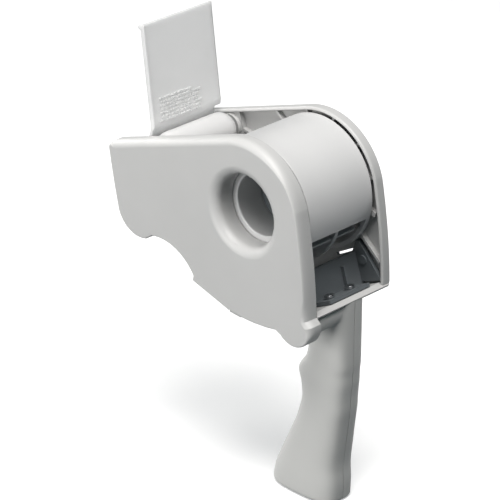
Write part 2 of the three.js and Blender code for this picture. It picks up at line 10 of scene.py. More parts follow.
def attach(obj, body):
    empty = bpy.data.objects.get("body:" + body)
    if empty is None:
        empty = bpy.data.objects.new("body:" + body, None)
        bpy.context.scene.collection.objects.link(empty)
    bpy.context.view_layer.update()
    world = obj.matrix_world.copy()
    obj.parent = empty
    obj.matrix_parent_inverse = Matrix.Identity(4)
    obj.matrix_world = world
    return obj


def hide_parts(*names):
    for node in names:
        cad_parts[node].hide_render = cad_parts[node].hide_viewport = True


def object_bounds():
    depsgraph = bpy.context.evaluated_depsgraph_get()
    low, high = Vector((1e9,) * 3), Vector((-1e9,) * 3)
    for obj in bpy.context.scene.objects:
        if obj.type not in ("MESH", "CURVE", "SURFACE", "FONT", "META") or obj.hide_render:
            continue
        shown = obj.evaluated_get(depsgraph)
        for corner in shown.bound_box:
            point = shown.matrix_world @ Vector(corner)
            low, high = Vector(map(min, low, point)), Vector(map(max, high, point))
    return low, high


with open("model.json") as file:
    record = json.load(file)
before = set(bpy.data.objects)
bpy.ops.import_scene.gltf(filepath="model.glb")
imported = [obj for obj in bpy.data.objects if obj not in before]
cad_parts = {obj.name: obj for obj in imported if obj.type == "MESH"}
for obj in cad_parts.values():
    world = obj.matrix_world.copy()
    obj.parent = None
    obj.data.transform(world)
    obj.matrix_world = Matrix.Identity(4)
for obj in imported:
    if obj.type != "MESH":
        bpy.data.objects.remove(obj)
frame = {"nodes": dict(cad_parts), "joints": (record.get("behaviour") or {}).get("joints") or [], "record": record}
cad_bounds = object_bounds()

# Shapes are drawn in millimetres in the plate frame: X runs back along the straight top edge of the side
# plates, Y across from the cover to the frame, and the drum's axis is the line X = Z = 0.
NOSE_DIP = math.radians(18)
HALF_WIDTH = 33.75
WALL = 2.4
FLANGE_DEPTH = 9.3
FRAME_RIM_DEPTH = 6.4
FRAME_RIM_WALL = 1.8
TOP_INSET = 3.9
REAR_INSET = 1.7
LOBE_INSET = 3.8
COVER_EASE = 5.5
FRAME_EASE = 1.2
CRISP_EASE = 0.9
COVER_RIM_CORNER = 0.5
FRAME_RIM_CORNER = 1.3
PLATE_RADIUS = 41
CLEARANCE = 0.3
INNER_FACE = HALF_WIDTH - WALL
FLANGE_EDGE = HALF_WIDTH - FLANGE_DEPTH

DRUM_RADIUS = 38
DRUM_WALL = 2.4
DRUM_LOW = -21.5
DRUM_HIGH = 27.2
WINDOW_ANGLES = (-146, -34)
WINDOW_INNER = 24
WINDOW_OUTER = 44
FRONT_RING = 3
BACK_RING = 3.2
DISC_LOW = 1
DISC_HIGH = 3.4
SLEEVE_OUTER = 20.6
SLEEVE_INNER = 17.4
SLEEVE_LOW = -19.6
SLEEVE_RIM = 22.7
SLEEVE_HIGH = 27
SPINDLE_RADIUS = 17
SPINDLE_BORE = 13.4
SPINDLE_END = -2
COLLAR_RADIUS = 20.5
COLLAR_ROUNDING = 5.6
COLLAR_END = -19.9

ROLLER = (-62, 31.7)
ROLLER_RADIUS = 10
ROLLER_HALF = 24.1
ROLLER_BORE = 7.3
ROLLER_END_DEPTH = 3.6
ROLLER_END_LENGTH = 6
AXLE_RADIUS = 3.9
PIN = (-80, 22)
PIN_RADIUS = 1.9
SOCKET_SLACK = 0.25
NOSE = (-83.3, 2)
NOSE_RADIUS = 17.3
LOBE = (19.3, -62.3)
LOBE_RADIUS = 12.5
TIE_POST_RADIUS = 5.6
SCRAP_SLOT = [(-5, -44.6), (12.2, -41.2), (12.2, -39.6), (-5, -43)]

FLAP_THICKNESS = 1.8
FLAP_LOW = -24.2
FLAP_HIGH = 28
FLAP_NECK_HALF = 23.6
FLAP_TOP = (-57, 102.4)
FLAP_LINE = [(-79.6, 23), (-77.2, 30.5), (-74.4, 37), (-70.6, 41.5), (-67.6, 46.5), (-66.2, 53),
             (-61.6, 77.7), FLAP_TOP]

HANDLE_Y = 4.5
HANDLE_WALL = 2.3
BUTT_ROUNDING = 2.6
GRIP_SQUARENESS = 0.66
# Down the grip, measured square to it: height, forward-back centre, half depth, half width.
GRIP = [
    (-44, 33.4, 13.9, 11.3),
    (-80, 33.4, 13.9, 11.3),
    (-88.5, 32.6, 14.7, 11.4),
    (-93.5, 30.6, 16.3, 11.6),
    (-98, 29.5, 17.3, 11.8),
    (-105, 30.2, 16, 11.6),
    (-113, 30.4, 15.3, 11.5),
    (-126, 28.2, 16.1, 11.7),
    (-138.7, 24.8, 18, 12.3),
    (-153.8, 20.6, 20.6, 13),
    (-165, 18.6, 23, 13.5),
    (-175.2, 17.7, 23.6, 13.6),
]
GRIP_TOP = -44
GRIP_HOLLOW_TOP = -79
GRIP_BOTTOM = -175.2
# The handle's screws, measured like the grip: forward-back place, height and the reach of their bosses.
HANDLE_SCREWS = [(33, -88, 10.9), (30, -119, 10.9), (19.5, -160, 12.6)]
# X and Y of the screws that go up through the floor, the cover's handle half first.
BRACKET_SCREWS = [(19.5, -3.5), (19.5, 12.5)]

joints = {joint["name"]: joint for joint in frame["joints"]}
hub_centre = Vector(joints["hub_spin"]["pos_m"])
# From millimetres in the plate frame to metres in the part's own frame.
to_frame = (Matrix.Translation(hub_centre) @ Matrix.Rotation(-NOSE_DIP, 4, "Y")
            @ Matrix.Diagonal((0.001, 0.001, 0.001, 1)))


# ---------------------------------------------------------------- outlines in X and Z

def arc(centre, radius, start, end, step=3):
    """Points along a circular arc, with its angles in degrees."""
    count = max(2, math.ceil(abs(end - start) / step))
    angles = [math.radians(start + (end - start) * i / count) for i in range(count + 1)]
    return [(centre[0] + radius * math.cos(a), centre[1] + radius * math.sin(a)) for a in angles]


def curve(start, control, end, count):
    """Points along a quadratic curve that is pulled towards its control point."""
    points = []
    for i in range(count + 1):
        t = i / count
        a, b, c = (1 - t) ** 2, 2 * t * (1 - t), t * t
        points.append(tuple(a * start[k] + b * control[k] + c * end[k] for k in (0, 1)))
    return points


def spaced(points, least=0.3):
    """The outline without points that nearly coincide."""
    kept = []
    for point in points:
        if not kept or math.dist(point, kept[-1]) > least:
            kept.append(point)
    if math.dist(kept[0], kept[-1]) < least:
        kept.pop()
    return kept


def plate_outline(with_lobe):
    """The side outline, anticlockwise from the top front corner, ending in a lobe or in a plain corner."""
    points = arc((-92.3, 36.8), 4.2, 90, 171.3, 9)
    points += curve(points[-1], (-99.4, 18), (-100.6, NOSE[1]), 14)
    points += arc(NOSE, NOSE_RADIUS, 180, 270)
    points += arc((-81, -44.5), 31.2, 84, 16)
    points += [(-52.6, -38.8), (-40, -47.4)]
    points += curve((-28.6, -55.2), (-13, -62.8), (5, -65.3), 18)
    if with_lobe:
        points += arc(LOBE, LOBE_RADIUS, 207, 352)
        rear = (29.6, -60.5)
    else:
        points += curve((24.6, -62.8), (29, -62.2), (29.9, -58.2), 8)
        rear = (29.9, -58.2)
    points += curve(rear, (37.5, -32), (PLATE_RADIUS, -1), 26)
    points += arc((0, 0), PLATE_RADIUS, 0, 90)
    points += [(-20, PLATE_RADIUS), (-45, PLATE_RADIUS), (-70, PLATE_RADIUS)]
    return spaced(points)


def belly_band():
    """The floor's section, with a bevel on its rear edge that faces up."""
    points = [(25.9, -58.75), (5, -61.7)]
    points += curve((5, -61.7), (-13, -59.2), (-27, -52.4), 14)
    points += curve((-28.6, -55.2), (-13, -62.8), (5, -65.3), 14)
    points += curve((24.6, -62.8), (29.2, -62.4), (29.9, -60.7), 8)
    return spaced(points)


def above_belly():
    """Everything above the plates' lower edge, to cut the handle's head to the belly."""
    gap = CLEARANCE + 0.1
    points = [(70, -20), (-60, -20), (-60, -40)]
    points += curve((-28.6, -55.2 - gap), (-13, -62.8 - gap), (5, -65.3 - gap), 20)
    points += curve((24.6, -62.8 - gap), (29, -62.2 - gap), (30.3, -60.2 - gap), 8)
    points += [(70, -50)]
    return spaced(points)


def belly_block(before, after, depth, proud):
    """The outline of a box along the belly edge, at the snap tongue."""
    start, length, slope = (-28.2, -55.7), 8.3, math.radians(-23)

    def at(along, out):
        return (start[0] + along * math.cos(slope) + out * math.sin(slope),
                start[1] + along * math.sin(slope) - out * math.cos(slope))

    end = length + after
    return [at(-before, proud), at(end, proud), at(end, -depth), at(-before, -depth)]


def box_outline(x0, x1, z0, z1):
    return [(x0, z0), (x1, z0), (x1, z1), (x0, z1)]


def mitres(points):
    """For each outline point, the step that moves it inwards so that both its edges move by one."""
    steps = []
    for i, point in enumerate(points):
        p = Vector(point)
        ahead = (p - Vector(points[i - 1])).normalized()
        after = (Vector(points[(i + 1) % len(points)]) - p).normalized()
        first = Vector((-ahead.y, ahead.x))
        middle = (first + Vector((-after.y, after.x))).normalized()
        steps.append(middle / max(0.6, middle.dot(first)))
    return steps


# ---------------------------------------------------------------- closed shells

class Shell:
    """Points and faces of closed bodies, in millimetres in the plate frame."""

    def __init__(self):
        self.points = []
        self.faces = []

    def ring(self, points):
        start = len(self.points)
        self.points.extend(points)
        return list(range(start, len(self.points)))

    def bridge(self, a, b):
        for i in range(len(a)):
            j = (i + 1) % len(a)
            self.faces.append((a[i], a[j], b[j], b[i]))

    def bridge_all(self, rings):
        for a, b in zip(rings, rings[1:]):
            self.bridge(a, b)

    def cap(self, outer, hole=()):
        if not hole:
            self.faces.append(tuple(outer))
            return
        loops = [[Vector(self.points[i]) for i in outer], [Vector(self.points[i]) for i in hole]]
        indices = list(outer) + list(hole)
        for triangle in tessellate_polygon(loops):
            self.faces.append(tuple(indices[i] for i in triangle))

    def build(self, name):
        mesh = bpy.data.meshes.new(name)
        mesh.from_pydata([to_frame @ Vector(p) for p in self.points], [], self.faces)
        work = bmesh.new()
        work.from_mesh(mesh)
        bmesh.ops.recalc_face_normals(work, faces=work.faces)
        work.to_mesh(mesh)
        work.free()
        made = bpy.data.objects.new(name, mesh)
        bpy.context.scene.collection.objects.link(made)
        return made


def prism(points, low, high):
    shell = Shell()
    bottom = shell.ring([(x, low, z) for x, z in points])
    top = shell.ring([(x, high, z) for x, z in points])
    shell.bridge(bottom, top)
    shell.cap(bottom)
    shell.cap(top)
    return shell.build("tool")


def rod(radius, centre, low, high, sides=48):
    return prism(arc(centre, radius, 0, 360, 360 / sides)[:-1], low, high)


def upright(radius, x, y, low, high, sides=24):
    shell = Shell()
    rings = []
    for z in (low, high):
        angles = [2 * math.pi * i / sides for i in range(sides)]
        rings.append(shell.ring([(x + radius * math.cos(a), y + radius * math.sin(a), z) for a in angles]))
    shell.bridge(*rings)
    shell.cap(rings[0])
    shell.cap(rings[1])
    return shell.build("tool")


def rounded(profile, radius, steps=4):
    """A closed profile with its corners rounded: each entry is (radius, y) or (radius, y, corner radius)."""
    made = []
    count = len(profile)
    for i, entry in enumerate(profile):
        corner = Vector(entry[:2])
        size = entry[2] if len(entry) > 2 else radius
        before = Vector(profile[i - 1][:2]) - corner
        after = Vector(profile[(i + 1) % count][:2]) - corner
        reach = min(size, before.length * 0.45, after.length * 0.45)
        if reach < 0.02:
            made.append(tuple(corner))
            continue
        a = corner + before.normalized() * reach
        b = corner + after.normalized() * reach
        made += curve(a, corner, b, steps)
    return made


def revolve(profile, centre, sides=128):
    """A ring-shaped body turned about a line parallel to Y from a closed (radius, y) profile."""
    shell = Shell()
    rings = []
    for i in range(sides):
        a = 2 * math.pi * i / sides
        rings.append(shell.ring([(centre[0] + r * math.cos(a), y, centre[1] + r * math.sin(a))
                                 for r, y in profile]))
    for i in range(sides):
        shell.bridge(rings[i], rings[(i + 1) % sides])
    return shell.build("turned")


def spoke(angle, inner, outer, low, high, thickness):
    """A straight rib along a ray from the drum's axis."""
    a = math.radians(angle)
    along = Vector((math.cos(a), math.sin(a)))
    across = Vector((-along.y, along.x)) * thickness / 2
    points = [along * inner - across, along * outer - across, along * outer + across, along * inner + across]
    return prism([tuple(p) for p in points], low, high)


def bake(target):
    """Replaces an object's mesh by what its modifiers make of it."""
    graph = bpy.context.evaluated_depsgraph_get()
    mesh = bpy.data.meshes.new_from_object(target.evaluated_get(graph), depsgraph=graph)
    target.modifiers.clear()
    old = target.data
    target.data = mesh
    bpy.data.meshes.remove(old)


def combine(target, tools, operation):
    """Joins the tools to the target, or cuts them from it, and removes them."""
    for tool in tools:
        step = target.modifiers.new("combine", "BOOLEAN")
        step.operation = operation
        step.solver = "MANIFOLD"
        step.object = tool
    bake(target)
    for tool in tools:
        mesh = tool.data
        bpy.data.objects.remove(tool)
        bpy.data.meshes.remove(mesh)
    return target


def join(target, *tools):
    return combine(target, tools, "UNION")


def cut(target, *tools):
    return combine(target, tools, "DIFFERENCE")


# ---------------------------------------------------------------- side plates

# Ribs along rays from the drum's axis: angle, outer end and thickness.
RIBS = [(91, 39.6, 1.6), (61, 39.6, 1.6), (30, 39.6, 1.6), (0, 39.6, 1.6), (-31, 40, 2.8), (122, 46, 1.6),
        (152, 64, 1.6), (176, 92, 1.6), (207, 57, 1.6), (236, 57, 1.6), (-58, 56, 1.6)]
RIB_HEIGHT = 3


def blend_in(value, low, high):
    """Rises smoothly from 0 at low to 1 at high."""
    t = max(0, min(1, (value - low) / (high - low)))
    return t * t * (3 - 2 * t)


def easing_at(inward, height, side):
    """How far the easing of a plate's edge reaches in over the face and down the flange, where the edge faces
    against the given inward step: broad on the cover's top, narrower on its rear down to the lobe, and crisp
    along nose and belly."""
    if side > 0:
        return FRAME_EASE, FRAME_EASE
    back, up = -inward.normalized()
    broad = blend_in((back + up) / math.sqrt(2), -0.2, 0.5)
    rear = REAR_INSET + (LOBE_INSET - REAR_INSET) * blend_in(-height, 48, 58)
    inset = rear + (TOP_INSET - rear) * blend_in(up, 0.3, 0.95)
    return CRISP_EASE + (inset - CRISP_EASE) * broad, CRISP_EASE + (COVER_EASE - CRISP_EASE) * broad


def plate_section(over, down, side):
    """Inset and distance from the middle, from the inner face round the flange's edge to the outer face."""
    wall = WALL if side < 0 else FRAME_RIM_WALL
    edge = HALF_WIDTH - (FLANGE_DEPTH if side < 0 else FRAME_RIM_DEPTH)
    section = [(wall + 1, INNER_FACE), (wall + 0.3, INNER_FACE - 0.3), (wall, INNER_FACE - 1)]
    section += [(wall, edge + 0.4), (wall - 0.12, edge + 0.12), (wall - 0.4, edge)]
    corner = COVER_RIM_CORNER if side < 0 else FRAME_RIM_CORNER
    for a in (0, 22.5, 45, 67.5, 90):
        turn = math.radians(a)
        section.append((corner - corner * math.sin(turn), edge + corner - corner * math.cos(turn)))
    for step in range(11):
        turn = math.radians(90 * step / 10)
        section.append((over * (1 - math.cos(turn)), HALF_WIDTH - down * (1 - math.sin(turn))))
    return section


def collar_section():
    """Radius and Y of the hub hole's lip and collar, from the outer face round to the inner face."""
    section = []
    for step in range(9):
        turn = math.radians(90 - 90 * step / 8)
        section.append((COLLAR_RADIUS + COLLAR_ROUNDING * (1 - math.cos(turn)),
                        -HALF_WIDTH + COLLAR_ROUNDING * (1 - math.sin(turn))))
    outside = COLLAR_RADIUS + WALL
    section += [(COLLAR_RADIUS, COLLAR_END - 0.5), (COLLAR_RADIUS + 0.15, COLLAR_END - 0.15)]
    section += [(COLLAR_RADIUS + 0.5, COLLAR_END), (outside - 0.5, COLLAR_END)]
    section += [(outside, COLLAR_END - 0.5), (outside, -INNER_FACE)]
    return section


def dish(points, side, with_hole):
    """A side plate with its inward flange, and the hub hole's collar where it has one."""
    shell = Shell()
    steps = mitres(points)
    sections = [plate_section(*easing_at(step, z, side), side) for (_, z), step in zip(points, steps)]
    rings = []
    for row in zip(*sections):
        rings.append(shell.ring([(x + inset * m.x, side * y, z + inset * m.y)
                                 for (x, z), m, (inset, y) in zip(points, steps, row)]))
    shell.bridge_all(rings)
    if with_hole:
        collar = []
        for radius, y in collar_section():
            collar.append(shell.ring([(x, y, z) for x, z in arc((0, 0), radius, 0, 360, 2.5)[:-1]]))
        shell.bridge_all(collar)
        shell.cap(rings[-1], collar[0])
        shell.cap(rings[0], collar[-1])
    else:
        shell.cap(rings[-1])
        shell.cap(rings[0])
    return shell.build("dish")


def between(a, b):
    return min(a, b), max(a, b)


def plate_fittings(side, inner):
    """Ribs, a bearing block, sockets and half the tie post inside a plate, and the bores in the sockets."""
    root = side * (INNER_FACE + 0.5)
    low_part = between(root, side * (INNER_FACE - RIB_HEIGHT))
    solids = [spoke(angle, inner, end, *low_part, thickness) for angle, end, thickness in RIBS]
    solids.append(prism(box_outline(-69.5, -54, 24, 39.4), *low_part))
    bores = []
    for centre, outer, shaft, height in ((ROLLER, 7, AXLE_RADIUS, 5.2), (PIN, 4.6, PIN_RADIUS, 3.6)):
        solids.append(rod(outer, centre, *between(root, side * (INNER_FACE - height))))
        bore_ends = between(side * INNER_FACE, side * (INNER_FACE - height - 1))
        bores.append(rod(shaft + SOCKET_SLACK, centre, *bore_ends))
    solids.append(rod(TIE_POST_RADIUS, NOSE, *between(root, side * CLEARANCE / 2)))
    return solids, bores


def side_cover():
    cover = dish(plate_outline(True), -1, True)
    solids, bores = plate_fittings(-1, COLLAR_RADIUS + 1.2)
    join(cover, *solids)
    recess = prism(belly_block(0.8, 0.3, 1.2, 3), -35, -20)
    return cut(cover, *bores, rod(1.6, NOSE, -26, 1, 24), recess)


def side_frame():
    plate = dish(plate_outline(False), 1, False)
    solids, bores = plate_fittings(1, 30)
    floor = prism(belly_band(), -FLANGE_EDGE + CLEARANCE, INNER_FACE + 0.5)
    tongue = prism(belly_block(0, 0, 0.9, 0.3), -33.2, -23.4)
    join(plate, floor, tongue, *solids)
    nose_screw = [rod(1.7, NOSE, -1, 40, 24), rod(3.3, NOSE, 29.4, 40)]
    spindle_screw = [rod(2.3, (0, 0), 25, 40, 24), rod(4.4, (0, 0), 32.2, 40)]
    slot = prism(SCRAP_SLOT, INNER_FACE - 5, HALF_WIDTH + 1)
    bracket_screws = [upright(1.7, x, y, -70, -50) for x, y in BRACKET_SCREWS]
    groove = revolve([(15, 33.2), (16.4, 33.2), (16.6, 34.5), (14.8, 34.5)], (0, 0))
    return cut(plate, *bores, *nose_screw, *spindle_screw, slot, *bracket_screws, groove)


# ---------------------------------------------------------------- handle

def smooth_table(table, at):
    """Cubic interpolation through the rows of a table whose first column falls, without overshoot."""
    keys = [row[0] for row in table]
    spans = [keys[i + 1] - keys[i] for i in range(len(keys) - 1)]
    index = max(0, min(len(spans) - 1, next((i for i, k in enumerate(keys[1:]) if at >= k), len(spans) - 1)))
    made = []
    for column in range(1, len(table[0])):
        values = [row[column] for row in table]
        slopes = [(values[i + 1] - values[i]) / spans[i] for i in range(len(spans))]

        def tangent(i):
            if i == 0 or i == len(spans) or slopes[i - 1] * slopes[i] <= 0:
                return 0
            w1 = 2 * spans[i] + spans[i - 1]
            w2 = spans[i] + 2 * spans[i - 1]
            return (w1 + w2) / (w1 / slopes[i - 1] + w2 / slopes[i])

        span = spans[index]
        t = (at - keys[index]) / span
        made.append(values[index] * (1 + 2 * t) * (1 - t) ** 2 + span * tangent(index) * t * (1 - t) ** 2
                    + values[index + 1] * t * t * (3 - 2 * t) + span * tangent(index + 1) * t * t * (t - 1))
    return made


def grip_body(shrink, top, bottom, step=1.5, around=96):
    """The whole grip, made smaller all round by shrink, with its butt rounded."""
    heights = [top - i * step for i in range(int((top - bottom) / step))]
    edge = bottom + BUTT_ROUNDING
    heights = [h for h in heights if h > edge + 0.4]
    heights += [edge - BUTT_ROUNDING * math.sin(math.radians(a)) for a in range(0, 85, 9)]
    shell = Shell()
    rings = []
    turn = Matrix.Rotation(NOSE_DIP, 4, "Y")
    for height in heights:
        x, depth, width = smooth_table(GRIP, height)
        below = max(0, edge - height)
        rounding = BUTT_ROUNDING - math.sqrt(max(0, BUTT_ROUNDING ** 2 - below ** 2))
        inset = shrink + rounding
        points = []
        for i in range(around):
            c = math.cos(2 * math.pi * i / around)
            s = math.sin(2 * math.pi * i / around)
            point = Vector((x + (depth - inset) * math.copysign(abs(c) ** GRIP_SQUARENESS, c),
                            HANDLE_Y + (width - inset) * math.copysign(abs(s) ** GRIP_SQUARENESS, s), height))
            points.append(tuple(turn @ point))
        rings.append(shell.ring(points))
    shell.bridge_all(rings)
    shell.cap(rings[0])
    shell.cap(rings[-1])
    return shell.build("grip")


def box(x0, x1, y0, y1, z0, z1):
    return prism(box_outline(x0, x1, z0, z1), y0, y1)


def handle_half(side):
    body = grip_body(0, GRIP_TOP, GRIP_BOTTOM)
    if side < 0:
        shoulder_place = (LOBE[0] - 1.5, LOBE[1] - 0.4)
        join(body, rod(LOBE_RADIUS - 3, shoulder_place, -FLANGE_EDGE + CLEARANCE, 2, 96))
        blend = body.modifiers.new("blend", "REMESH")
        blend.mode = "VOXEL"
        blend.voxel_size = 0.0007
        soften = body.modifiers.new("soften", "SMOOTH")
        soften.factor = 0.5
        soften.iterations = 6
        bake(body)
    apart = HANDLE_Y + side * CLEARANCE / 2
    keep_out = box(-90, 90, apart, 60, -200, -40) if side < 0 else box(-90, 90, -60, apart, -200, -40)
    hollow = grip_body(HANDLE_WALL, GRIP_HOLLOW_TOP, GRIP_BOTTOM + HANDLE_WALL)
    cut(body, hollow, prism(above_belly(), -60, 60), keep_out)
    turn = Matrix.Rotation(NOSE_DIP, 4, "Y")
    bosses, holes = [], []
    for x, z, reach in HANDLE_SCREWS:
        place = turn @ Vector((x, 0, z))
        centre = (place.x, place.z)
        bosses.append(rod(3.6, centre, *between(apart, HANDLE_Y + side * reach), 32))
        if side < 0:
            holes.append(rod(1.6, centre, HANDLE_Y - 9, HANDLE_Y + 1, 24))
        else:
            holes.append(rod(1.7, centre, HANDLE_Y - 1, 40, 24))
            holes.append(rod(3, centre, HANDLE_Y + 9, 40, 32))
    join(body, *bosses)
    x, y = BRACKET_SCREWS[0 if side < 0 else 1]
    return cut(body, *holes, upright(1.6, x, y, -74, -50))


# ---------------------------------------------------------------- hub, roller and flap

def core_drum():
    inner = DRUM_RADIUS - DRUM_WALL
    drum = revolve(rounded([(inner, DRUM_LOW), (DRUM_RADIUS, DRUM_LOW), (DRUM_RADIUS, DRUM_HIGH),
                            (inner, DRUM_HIGH)], 0.6, 3), (0, 0), 180)
    first, last = ((math.cos(math.radians(a)), math.sin(math.radians(a))) for a in WINDOW_ANGLES)
    wedge = [(WINDOW_INNER * first[0], WINDOW_INNER * first[1]),
             (WINDOW_OUTER * first[0], WINDOW_OUTER * first[1]),
             (-30, -80), (30, -80),
             (WINDOW_OUTER * last[0], WINDOW_OUTER * last[1]),
             (WINDOW_INNER * last[0], WINDOW_INNER * last[1])]
    cut(drum, prism(wedge, DRUM_LOW + FRONT_RING, DRUM_HIGH - BACK_RING))
    disc_inner = SLEEVE_OUTER + 0.1
    disc_outer = DRUM_RADIUS - 0.6
    disc = revolve([(disc_inner, DISC_LOW), (disc_outer, DISC_LOW),
                    (disc_outer, DISC_HIGH), (disc_inner, DISC_HIGH)], (0, 0), 180)
    spokes = [spoke(angle, 21.7, 36.3, -14.8, 19.2, 1.8) for angle in (-45, 20, 90, 160, 220)]
    join(drum, disc, *spokes)
    return cut(drum, rod(SLEEVE_OUTER + CLEARANCE, (0, 0), -40, 40, 128))


def hub_sleeve():
    rim_back = SLEEVE_LOW + 1.6
    profile = [(SLEEVE_INNER, SLEEVE_LOW, 0.9), (SLEEVE_RIM, SLEEVE_LOW, 0.2), (SLEEVE_RIM, rim_back),
               (SLEEVE_OUTER, rim_back), (SLEEVE_OUTER, SLEEVE_HIGH), (SLEEVE_INNER, SLEEVE_HIGH)]
    return revolve(rounded(profile, 0.3), (0, 0))


def hub_spindle():
    foot = 29.1
    back = INNER_FACE - CLEARANCE
    profile = [(2.3, foot + 0.1), (SPINDLE_BORE, foot + 0.1, 1), (SPINDLE_BORE, SPINDLE_END),
               (SPINDLE_RADIUS, SPINDLE_END), (SPINDLE_RADIUS, foot, 0.1),
               (26, foot), (26, back), (2.3, back)]
    return revolve(rounded(profile, 0.6), (0, 0))


def roller():
    end = []
    for step in range(9):
        turn = math.radians(90 * step / 8)
        end.append((ROLLER_RADIUS - ROLLER_END_DEPTH * (1 - math.cos(turn)),
                    ROLLER_HALF - ROLLER_END_LENGTH * (1 - math.sin(turn))))
    profile = end + [(7.4, ROLLER_HALF), (ROLLER_BORE, ROLLER_HALF - 0.1)]
    return revolve(profile + [(radius, -y) for radius, y in reversed(profile)], ROLLER)


def flap_points(count):
    """Points along the flap's middle line, smooth through FLAP_LINE."""
    line = [Vector(p) for p in FLAP_LINE]
    line = [2 * line[0] - line[1]] + line + [2 * line[-1] - line[-2]]
    made = []
    for i in range(1, len(line) - 2):
        p0, p1, p2, p3 = line[i - 1:i + 3]
        for k in range(count):
            t = k / count
            made.append(tuple(0.5 * (2 * p1 + (p2 - p0) * t + (2 * p0 - 5 * p1 + 4 * p2 - p3) * t * t
                                     + (3 * p1 - p0 - 3 * p2 + p3) * t ** 3)))
    return made + [FLAP_TOP]


def strip(line, front, back):
    """The outline of a bent sheet about its middle line."""

    def offset(amount):
        made = []
        for i, (x, z) in enumerate(line):
            before, after = Vector(line[max(0, i - 1)]), Vector(line[min(len(line) - 1, i + 1)])
            along = (after - before).normalized()
            made.append((x - amount * along.y, z + amount * along.x))
        return made
    return offset(front) + offset(-back)[::-1]


def relief_bars(half):
    """Seven rows of small raised bars near the foot of the flap's rear face."""
    foot, top = Vector((-66.2, 53)), Vector(FLAP_TOP)
    up = (top - foot).normalized()
    out = Vector((up.y, -up.x))
    lengths = (1.1, 1.7, 1.1, 2.3, 1.3)
    bars = []
    for row in range(7):
        centre = foot + up * (row * 2.1 - 5.6)
        y = -17.5 + (row % 2) * 0.8
        index = row
        while y < 12.5 - (row == 6) * 6:
            length = lengths[index % len(lengths)]
            low, high = centre - up * 0.6, centre + up * 0.6
            corners = [low + out * (half - 0.2), low + out * (half + 0.45), high + out * (half + 0.45),
                       high + out * (half - 0.2)]
            bars.append(prism([tuple(p) for p in corners], y, y + length))
            y += length + 0.75
            index += 2
    return bars


def flap():
    line = flap_points(12)
    half = FLAP_THICKNESS / 2
    neck_line = [p for p in line if p[1] < 52]
    sheet_line = [p for p in line if p[1] > 44.4]
    body = prism(strip(sheet_line, half, half), FLAP_LOW, FLAP_HIGH)
    neck = prism(strip(neck_line, half, half), -FLAP_NECK_HALF, FLAP_NECK_HALF)
    bead = prism(strip(sheet_line, -half + 0.4, half + 1), FLAP_LOW, FLAP_LOW + 1.5)
    nub = rod(1.3, (FLAP_TOP[0] - 1.5, FLAP_TOP[1] - 1), FLAP_LOW, FLAP_LOW + 1.5, 32)
    barrel = rod(4.1, PIN, -FLAP_NECK_HALF, FLAP_NECK_HALF, 64)
    join(body, neck, bead, nub, barrel, *relief_bars(half))
    return cut(body, rod(PIN_RADIUS + SOCKET_SLACK, PIN, -60, 60))


# ---------------------------------------------------------------- materials

def moulded(name, colour, roughness, grain=0.06, translucent=0.0):
    """Moulded plastic: a fine satin grain, a faint drift of tone and uneven gloss."""
    material = bpy.data.materials.new(name)
    material.use_nodes = True
    nodes, links = material.node_tree.nodes, material.node_tree.links
    shader = nodes["Principled BSDF"]
    shader.inputs["IOR"].default_value = 1.49
    where = nodes.new("ShaderNodeTexCoord")

    def noise(scale, detail):
        node = nodes.new("ShaderNodeTexNoise")
        node.inputs["Scale"].default_value = scale
        node.inputs["Detail"].default_value = detail
        links.new(where.outputs["Object"], node.inputs["Vector"])
        return node.outputs["Fac"]

    def ranged(value, low, high):
        node = nodes.new("ShaderNodeMapRange")
        node.inputs["From Min"].default_value = 0.3
        node.inputs["From Max"].default_value = 0.7
        node.inputs["To Min"].default_value = low
        node.inputs["To Max"].default_value = high
        links.new(value, node.inputs["Value"])
        return node.outputs["Result"]

    mix = nodes.new("ShaderNodeMix")
    mix.data_type = "RGBA"
    mix.inputs["A"].default_value = [c * 0.975 for c in colour] + [1]
    mix.inputs["B"].default_value = [min(1, c * 1.025) for c in colour] + [1]
    links.new(ranged(noise(18, 3), 0, 1), mix.inputs["Factor"])
    links.new(mix.outputs["Result"], shader.inputs["Base Color"])
    links.new(ranged(noise(140, 4), roughness - 0.03, roughness + 0.04), shader.inputs["Roughness"])
    bump = nodes.new("ShaderNodeBump")
    bump.inputs["Strength"].default_value = grain
    bump.inputs["Distance"].default_value = 0.0002
    links.new(noise(2600, 2), bump.inputs["Height"])
    links.new(bump.outputs["Normal"], shader.inputs["Normal"])
    if translucent:
        shader.inputs["Subsurface Weight"].default_value = translucent
        shader.inputs["Subsurface Radius"].default_value = (1, 1, 1)
        shader.inputs["Subsurface Scale"].default_value = 0.004
    return material


